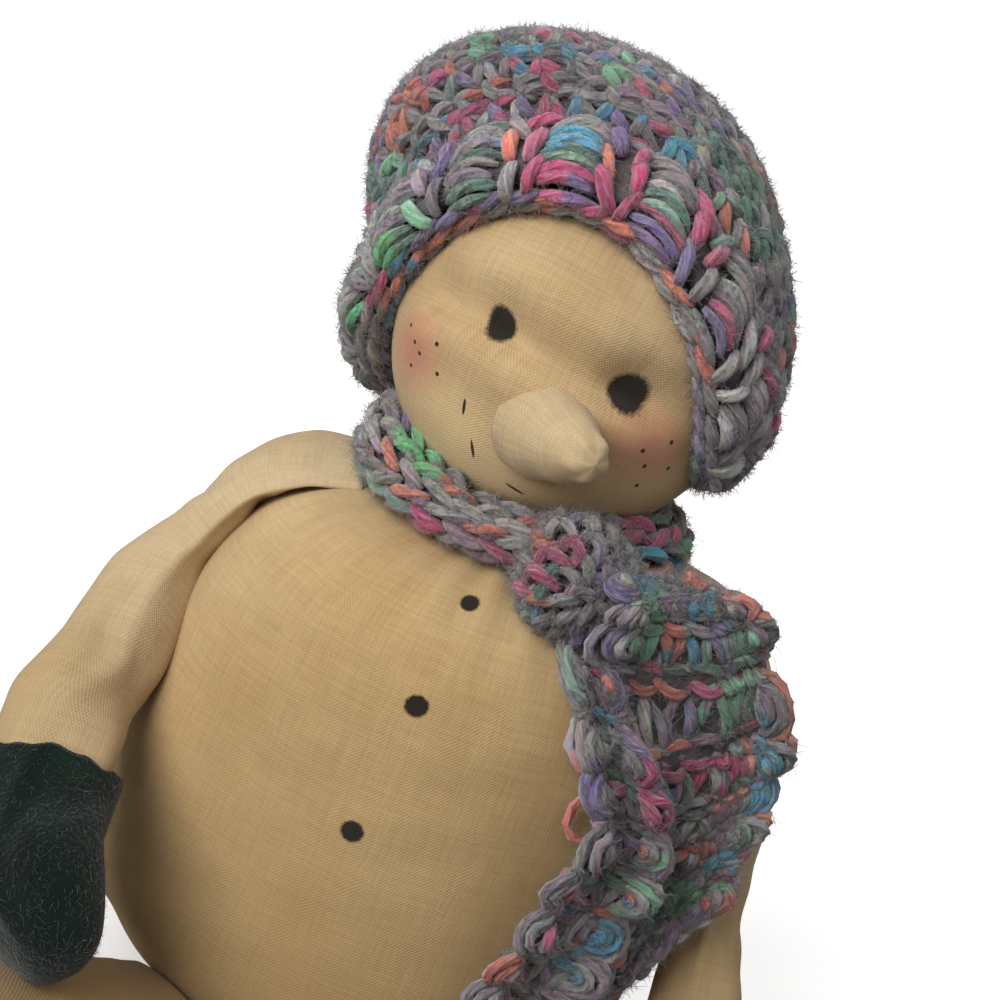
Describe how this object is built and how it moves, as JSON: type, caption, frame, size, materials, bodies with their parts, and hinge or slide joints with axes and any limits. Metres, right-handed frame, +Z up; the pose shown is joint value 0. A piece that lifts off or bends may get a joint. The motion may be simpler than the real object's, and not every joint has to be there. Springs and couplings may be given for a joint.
{
  "type": "snowman doll",
  "caption": "Seated cloth snowman doll with a ball head, cone nose, felt mittens, crocheted hat and knotted scarf; its sewn limbs swing and its hat pulls off.",
  "frame": {"origin": "centre of the flat seat, on the surface the doll sits on", "axes": "+Z up, the doll faces -Y, +X to its left hand"},
  "size_m": [0.1544, 0.1472, 0.1662],
  "materials": {
    "muslin": "tea-stained plain-weave cotton muslin",
    "stuffing": "white polyester fibre filling, with pellets in a cotton bag",
    "thread": "natural cotton sewing thread",
    "felt": "dark green wool felt with loose fibres",
    "yarn": "bulky grey heather yarn with pink, coral, green, blue and purple stretches, crocheted"
  },
  "bodies": {
    "doll": {"body_cover": "muslin", "seat_disc": "muslin", "body_stuffing": "stuffing", "pellet_bag": "stuffing", "head_cover": "muslin", "head_stuffing": "stuffing", "nose_cover": "muslin", "nose_stuffing": "stuffing", "neck_thread": "thread", "right_shoulder_thread": "thread", "left_shoulder_thread": "thread", "right_hip_thread": "thread", "left_hip_thread": "thread", "scarf_wrap": "yarn", "scarf_knot": "yarn", "scarf_tail_front": "yarn", "scarf_tail_side": "yarn"},
    "right_arm": {"right_arm_cover": "muslin", "right_arm_stuffing": "stuffing", "right_mitten": "felt"},
    "left_arm": {"left_arm_cover": "muslin", "left_arm_stuffing": "stuffing", "left_mitten": "felt"},
    "right_leg": {"right_leg_cover": "muslin", "right_leg_stuffing": "stuffing"},
    "left_leg": {"left_leg_cover": "muslin", "left_leg_stuffing": "stuffing"},
    "hat": {"hat_crown": "yarn", "hat_cuff": "yarn"}
  },
  "joints": [
    {"name": "right_shoulder", "type": "hinge", "parent": "doll", "child": "right_arm", "pos_m": [-0.03, 0, 0.0896], "axis": [0, 1, 0], "range_deg": [0, 80]},
    {"name": "left_shoulder", "type": "hinge", "parent": "doll", "child": "left_arm", "pos_m": [0.03, 0, 0.0896], "axis": [0, -1, 0], "range_deg": [0, 80]},
    {"name": "right_hip", "type": "hinge", "parent": "doll", "child": "right_leg", "pos_m": [-0.0257, -0.0301, 0.0027], "axis": [-0.8139, 0.581, 0], "range_deg": [-90, 0]},
    {"name": "left_hip", "type": "hinge", "parent": "doll", "child": "left_leg", "pos_m": [0.0257, -0.0301, 0.0027], "axis": [-0.8139, -0.581, 0], "range_deg": [-90, 20]},
    {"name": "hat_lift", "type": "slide", "parent": "doll", "child": "hat", "axis": [-0.023, 0.7429, 0.669], "range_m": [0, 0.08]}
  ]
}
